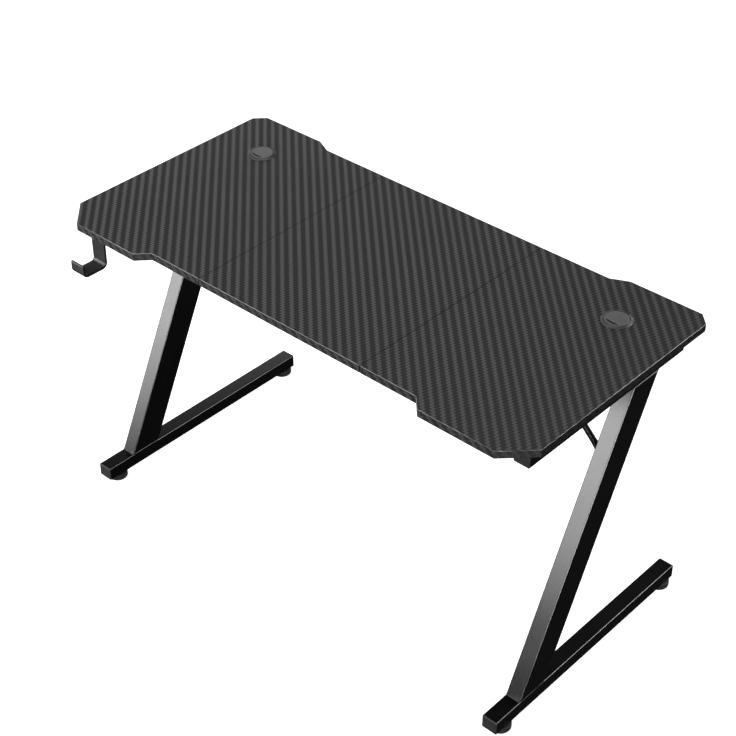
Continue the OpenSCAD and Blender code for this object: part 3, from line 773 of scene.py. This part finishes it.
def make_screws(node, head_h, shank_r, drive):
    """Every screw of a CAD node, with its place and its reach taken from the node's own solids."""
    made = bmesh.new()
    for low, high in islands(node):
        size = high - low
        middle = (low + high) / 2
        if size.x > size.z and abs(size.y - size.z) < 1 * MM:
            outward = 1 if middle.x > 0 else -1
            seat_x = (low.x + head_h) if outward > 0 else (high.x - head_h)
            seat, axis = (seat_x, middle.y, middle.z), (outward, 0, 0)
            head_r, length = size.y / 2, size.x - head_h
        else:
            seat, axis = (middle.x, middle.y, low.z + head_h), (0, 0, 1)
            head_r, length = size.x / 2, size.z - head_h
        fastener(made, seat, axis, head_r, head_h, shank_r, length, drive)
    piece(node + "_detailed", made, [ZINC], [node], sharp=32)


# ---------------------------------------------------------------- legs


# Section of an end cap in mm: (depth behind its face, inset from the tube's outline)
CAP_SECTION = [
    (0.0, 3.6), (0.12, 2.2), (0.35, 1.1), (0.8, 0.4), (1.4, 0.0),
    (2.5, 0.0), (2.75, 0.28), (3.0, 0.4), (3.05, 2.2), (16.9, 2.5),
]
WELD_STEP = 1.5 * MM
BEAM_WELD_DROP = 0.7 * MM  # the bead keeps this clear of the tabletop


def rounded_rectangle(width, height, radius, steps=5):
    w, h = width / 2, height / 2
    return rounded([(-w, -h), (w, -h), (w, h), (-w, h)], radius, steps=steps)


def make_cap(node):
    """Moulded end cap: crowned plate with a rounded rim and a shadow groove against the tube."""
    low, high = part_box(node)
    outward = -1 if "front" in node else 1
    face_y = low.y if outward < 0 else high.y
    width, height = high.x - low.x, high.z - low.z
    centre = (low + high) / 2
    rings = []
    for depth, shrink in CAP_SECTION:
        corner = max(2.6 - shrink * 0.6, 0.8) * MM
        outline = rounded_rectangle(
            width - 2 * shrink * MM, height - 2 * shrink * MM, corner
        )
        y = face_y - outward * depth * MM
        rings.append([(centre.x + p.x, y, centre.z + p.y) for p in outline])
    made = bmesh.new()
    loft(made, rings)
    piece(node + "_moulded", made, [CAP], [node], sharp=50)


def bead(made, path, normal, size_at):
    """Closed weld bead along a flat path, with a radius for each point of the path."""
    count = len(path)
    rings = []
    for i, here in enumerate(path):
        ahead = (path[(i + 1) % count] - path[i - 1]).normalized()
        side = ahead.cross(normal).normalized()
        size = size_at(i)
        rings.append([
            here + (side * math.cos(a) + normal * math.sin(a)) * size
            for a in (2 * math.pi * k / 8 for k in range(8))
        ])
    loft(made, rings, loop=True)


def ripple(i):
    """Wave along a weld bead, from the puddles that it was laid in."""
    return math.sin(i * math.pi / 1.5)


def resample(points, spacing):
    """Evenly spaced points round a closed 3D outline."""
    points = [Vector(p) for p in points]
    out = []
    for a, b in zip(points, points[1:] + points[:1]):
        pieces = max(1, round((b - a).length / spacing))
        out += [a.lerp(b, k / pieces) for k in range(pieces)]
    return out


def tube_end(node, z):
    """Box of a slanted tube where it meets the height z: (x0, x1, y0, y1)."""
    points = [v.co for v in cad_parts[node].data.vertices if abs(v.co.z - z) < TOUCH]
    xs, ys = [p.x for p in points], [p.y for p in points]
    return min(xs), max(xs), min(ys), max(ys)


def make_leg_welds(side):
    """Beads round both ends of a slanted tube."""
    def size_at(i):
        return 1.5 * MM * (1 + 0.14 * (0.7 * ripple(i) + random.uniform(-0.5, 0.5)))

    made = bmesh.new()
    node = "slant_tube_" + side
    low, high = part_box(node)
    for z, lift in ((low.z, 0.5 * MM), (high.z, -0.5 * MM)):
        x0, x1, y0, y1 = tube_end(node, z)
        outline = rounded_rectangle(x1 - x0 - 1.6 * MM, y1 - y0 - 0.6 * MM, 3.2 * MM)
        centre = Vector(((x0 + x1) / 2, (y0 + y1) / 2))
        path = resample([(centre.x + p.x, centre.y + p.y, z + lift) for p in outline], WELD_STEP)
        bead(made, path, UP, size_at)
    piece("leg_welds_" + side, made, [BEAD], [], sharp=180, even=False)


def make_beam_welds(end, side, way):
    """Bead round a beam where it meets its end plate, thinner under the tabletop."""
    low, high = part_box(end + "_beam")
    x = (low.x if way < 0 else high.x) - way * 0.5 * MM
    middle_y = (low.y + high.y) / 2
    middle_z = (low.z + high.z) / 2 - BEAM_WELD_DROP
    outline = rounded_rectangle(
        high.y - low.y, high.z - low.z - 2 * BEAM_WELD_DROP, 2 * MM
    )
    path = resample([(x, middle_y + p.x, middle_z + p.y) for p in outline], WELD_STEP)

    def size_at(i):
        size = 1.3 * MM * (1 + 0.12 * ripple(i))
        return size * 0.5 if path[i].z > high.z - 2.2 * MM else size

    made = bmesh.new()
    bead(made, path, Vector((1, 0, 0)), size_at)
    piece(f"beam_weld_{end}_{side}", made, [BEAD], [], sharp=180, even=False)


def make_brace(side, way):
    """Brace: a tube whose ends are pressed flat and bent against the leg and the beam."""
    low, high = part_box("brace_" + side)
    leg_x = high.x if way > 0 else -low.x
    inner_x = low.x if way > 0 else -high.x
    tab_t, tab_half, tube_r = 2.5 * MM, 9.5 * MM, 6.5 * MM
    reach, bend, ease, tip = 176 * MM, 14 * MM, 22 * MM, 6 * MM
    start = Vector((leg_x - tab_t / 2, low.z))
    knee = Vector((leg_x - tab_t / 2, high.z - reach + tab_t / 2))
    elbow = Vector((leg_x - reach + tab_t / 2, high.z - tab_t / 2))
    stop = Vector((inner_x, high.z - tab_t / 2))
    corners = rounded([start, knee, elbow, stop], [0, bend, bend, 0], closed=False, steps=8)
    stations = []
    for a, b in zip(corners, corners[1:]):
        parts = max(1, int((b - a).length / (3 * MM)))
        stations += [a.lerp(b, k / parts) for k in range(parts)]
    stations.append(corners[-1])
    lengths = [0.0]
    for a, b in zip(stations, stations[1:]):
        lengths.append(lengths[-1] + (b - a).length)
    flat_until = (knee - start).length + 4 * MM
    middle_y = (low.y + high.y) / 2
    rings = []
    for i, here in enumerate(stations):
        a, b = stations[max(i - 1, 0)], stations[min(i + 1, len(stations) - 1)]
        ahead = (b - a).normalized()
        across = Vector((-ahead.y, ahead.x))
        run = min(lengths[i], lengths[-1] - lengths[i])
        share = min(max((run - flat_until) / ease, 0), 1)
        share = share * share * (3 - 2 * share)
        half_y = tab_half + (tube_r - tab_half) * share
        half_n = tab_t / 2 + (tube_r - tab_t / 2) * share
        if run < tip:
            half_y *= 0.35 + 0.65 * math.sqrt(max(1 - (1 - run / tip) ** 2, 0))
        power = 2 / (5.0 - 3.0 * share)
        points = []
        for k in range(36):
            angle = 2 * math.pi * k / 36
            c, s = math.cos(angle), math.sin(angle)
            spot = here + across * (half_n * math.copysign(abs(c) ** power, c))
            sideways = half_y * math.copysign(abs(s) ** power, s)
            points.append((way * spot.x, middle_y + sideways, spot.y))
        rings.append(points)
    made = bmesh.new()
    loft(made, rings)
    piece("brace_" + side + "_pressed", made, [COAT], ["brace_" + side], sharp=50)


# ---------------------------------------------------------------- levelling feet


def make_pad(end, side):
    """Rubber pad with a recessed sole, a groove round its wall and a seat for the stem."""
    node = f"pad_{end}_{side}"
    low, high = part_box(node)
    centre = (low + high) / 2
    r, h = (high.x - low.x) / 2, high.z - low.z
    sole, seat = low.z + 0.4 * MM, high.z - 0.8 * MM
    corners = [
        ((0.5 * MM, sole), 0), ((r - 4 * MM, sole), 0.1), ((r - 4.4 * MM, low.z), 0.1),
        ((r - 1.2 * MM, low.z), 1.0), ((r, low.z + 1.8 * MM), 0.9),
        ((r, low.z + h * 0.42), 0.25), ((r - 0.7 * MM, low.z + h * 0.46), 0.15),
        ((r - 0.7 * MM, low.z + h * 0.54), 0.15), ((r, low.z + h * 0.58), 0.25),
        ((r, high.z - 0.1 * MM), 1.6), ((r - 3.5 * MM, high.z), 0.5),
        ((8.3 * MM, high.z), 0.15), ((8.1 * MM, seat), 0.1), ((0.5 * MM, seat), 0),
    ]
    made = turned(centre.xy, corners, 80, closed=False)
    piece(node + "_moulded", made, [RUBBER], [node], f"levelling_foot_{end}_{side}",
          sharp=45)


def make_stem(end, side):
    """Threaded stem with a real helical thread, on a hexagon set into the pad."""
    node = f"stem_{end}_{side}"
    low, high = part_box(node)
    centre = (low + high) / 2
    pad_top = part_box(f"pad_{end}_{side}")[1].z
    steps, nut_half, pitch = 28, 6.4 * MM, 1.25 * MM
    outer, root, chamfer = 3.92 * MM, 3.3 * MM, 1.5 * MM

    def nut(angle):
        return hexagon(nut_half, angle)

    def thread(z):
        taper = min(1.0, (high.z - z) / chamfer * 0.4 + 0.6)

        def radius(angle):
            phase = (z / pitch - angle / (2 * math.pi)) % 1
            crest = min(1, (1 - abs(2 * phase - 1)) * 1.25)
            return (root + (outer - root) * crest) * taper
        return radius

    rings = [ring(centre, z, nut, steps) for z in (low.z + 1 * MM, pad_top - 0.15 * MM)]
    rows = int((high.z - pad_top) / (pitch / 5))
    for k in range(rows + 1):
        z = pad_top + (high.z - pad_top) * k / rows
        rings.append(ring(centre, z, thread(z), steps))
    made = bmesh.new()
    loft(made, rings)
    piece(node + "_threaded", made, [ZINC], [node], f"levelling_foot_{end}_{side}",
          sharp=60, even=False)


# ---------------------------------------------------------------- grommets


SLOT_DEPTH = 7.5 * MM


def make_liner(side):
    """Fixed ring: a barrel in the panel, a bevelled rim on it and a ledge for the cap."""
    node = "grommet_liner_" + side
    low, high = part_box(node)
    centre = (low + high) / 2
    top_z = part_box("top_panel_" + side)[1].z
    rim = (high.x - low.x) / 2
    seat = rim - 6.8 * MM
    barrel = seat + 3 * MM
    bore, ledge, ledge_z = barrel - 2 * MM, seat - 2.5 * MM, top_z - 2 * MM
    made = turned(centre.xy, [
        ((bore, low.z), 0.4), ((barrel, low.z), 0.4), ((barrel, top_z), 0), ((rim, top_z), 0),
        ((rim, top_z + 1.3 * MM), 0.5), ((seat + 1.5 * MM, high.z), 1.0), ((seat, high.z), 0.25),
        ((seat, top_z), 0), ((ledge, top_z), 0.2), ((ledge, ledge_z), 0.2), ((bore, ledge_z), 0),
    ], 96)
    piece(node + "_moulded", made, [SHADED_RING], [node], sharp=50)


def make_grommet_cap(side):
    """Cap with a shallow dish and a half-moon cable slot, with a thin dark sheet under the slot as
    painted shade inside it.
    """
    node = "grommet_cap_" + side
    low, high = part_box(node)
    centre = cap_centre(side)
    r = (high.x - low.x) / 2
    skirt = r - 2.5 * MM
    core, dish = 0.4 * MM, high.z - 0.35 * MM
    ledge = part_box("top_panel_" + side)[1].z + 0.3 * MM
    made = turned(centre, [
        ((core, dish), 0), ((r - 3.2 * MM, dish), 1.0), ((r - 2.2 * MM, high.z), 0.8),
        ((r, high.z), 0.7), ((r, ledge), 0.15), ((skirt, ledge), 0), ((skirt, low.z), 0.4),
        ((skirt - 1.5 * MM, low.z), 0.4), ((skirt - 1.5 * MM, ledge), 0), ((core, ledge), 0),
    ], 96, closed=False)
    cap = piece(node + "_moulded", made, [GROMMET], [node], node, sharp=50)
    slot_r = skirt - 2.2 * MM
    half = math.acos((slot_r - SLOT_DEPTH) / slot_r)
    turns = [-math.pi / 2 - half + 2 * half * k / 32 for k in range(33)]
    slot = [Vector((slot_r * math.cos(a), slot_r * math.sin(a))) for a in turns]
    # Thin dark sheet just under the slot: painted shade standing in for the shade inside it.
    slot_shade_sheet = stacked(slot, centre, [
        (high.z - 1.6 * MM, -0.2 * MM), (high.z - 1.5 * MM, -0.3 * MM),
        (high.z - 1.0 * MM, -0.3 * MM), (high.z - 0.9 * MM, -0.2 * MM),
    ])
    piece("grommet_flap_" + side, slot_shade_sheet, [SLOT_SHADE], [], node, sharp=50)
    cut_out(cap, stacked(slot, centre, [
        (low.z - 2 * MM, 0), (high.z - 1.0 * MM, 0),
        (high.z - 0.3 * MM, -0.45 * MM), (high.z + 1 * MM, -0.6 * MM),
    ]))


# ---------------------------------------------------------------- headset hook


def make_hook():
    """Strip screwed under the panel and bent into a J, with a rounded tip and softened edges."""
    low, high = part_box("headset_hook")
    strip, bend = 6 * MM, 14 * MM
    middle = strip / 2
    shank_y = low.y + strip + 55 * MM
    tip_z = low.z + 32 * MM

    def outline(shrink):
        """Side view with the strip thinned by shrink on every side."""
        half = middle - shrink
        line = [
            (low.y + middle, tip_z - shrink), (low.y + middle, low.z + middle),
            (shank_y + middle, low.z + middle), (shank_y + middle, high.z - middle),
            (high.y - shrink, high.z - middle),
        ]
        turn = bend - middle
        path = rounded(line, [0, turn, turn, turn, 0], closed=False, steps=10)
        left, right = [], []
        for i, here in enumerate(path):
            ahead = (path[min(i + 1, len(path) - 1)] - path[max(i - 1, 0)]).normalized()
            across = Vector((-ahead.y, ahead.x)) * half
            left.append(here + across)
            right.append(here - across)
        hub = path[0] - Vector((0, half))
        left[0] = Vector((left[0].x, hub.y))
        right[0] = Vector((right[0].x, hub.y))
        tip = [
            hub + Vector((-math.cos(a), math.sin(a))) * half
            for a in (math.pi * k / 8 for k in range(1, 8))
        ]
        return right[::-1] + tip + left

    made = bmesh.new()
    loft(made, [
        [(x, p.x, p.y) for p in outline(shrink)]
        for x, shrink in arris_levels(low.x, high.x, 1.2 * MM)
    ])
    piece("headset_hook_moulded", made, [HOOK], ["headset_hook"], sharp=50)


# ---------------------------------------------------------------- build


def make_floor():
    grid = bmesh.new()
    bmesh.ops.create_grid(grid, x_segments=8, y_segments=8, size=20)
    data = bpy.data.meshes.new("floor")
    grid.to_mesh(data)
    grid.free()
    data.materials.append(studio_floor())
    floor = bpy.data.objects.new("floor", data)
    bpy.context.scene.collection.objects.link(floor)
    floor.visible_glossy = False
    floor.visible_diffuse = False


make_camera()
make_lights()
make_world()
make_floor()

make_panel("tabletop_left", "top_panel_left", cap_centre("left"))
make_panel("tabletop_middle", "top_panel_middle")
make_panel("tabletop_right", "top_panel_right", cap_centre("right"))

for side, way in SIDES:
    for end in ENDS:
        make_cap(f"foot_cap_{end}_{side}")
        make_cap(f"top_cap_{end}_{side}")
        make_pad(end, side)
        make_stem(end, side)
        make_beam_welds(end, side, way)
    make_leg_welds(side)
    make_brace(side, way)
    make_liner(side)
    make_grommet_cap(side)

make_hook()
make_screws("joint_plate_screws", 2 * MM, 2 * MM, "cross")
make_screws("tube_panel_screws", 2.5 * MM, 2.5 * MM, "cross")
make_screws("beam_panel_screws", 2.5 * MM, 2.5 * MM, "cross")
make_screws("hook_screws", 2 * MM, 2 * MM, "cross")
make_screws("frame_bolts", 3.5 * MM, 3 * MM, "hex")
make_screws("brace_bolts", 3.5 * MM, 3 * MM, "hex")

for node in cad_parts.values():
    if not node.hide_render:
        for place in node.material_slots:
            place.material = FINISHES[place.material.name.split(".")[0]]
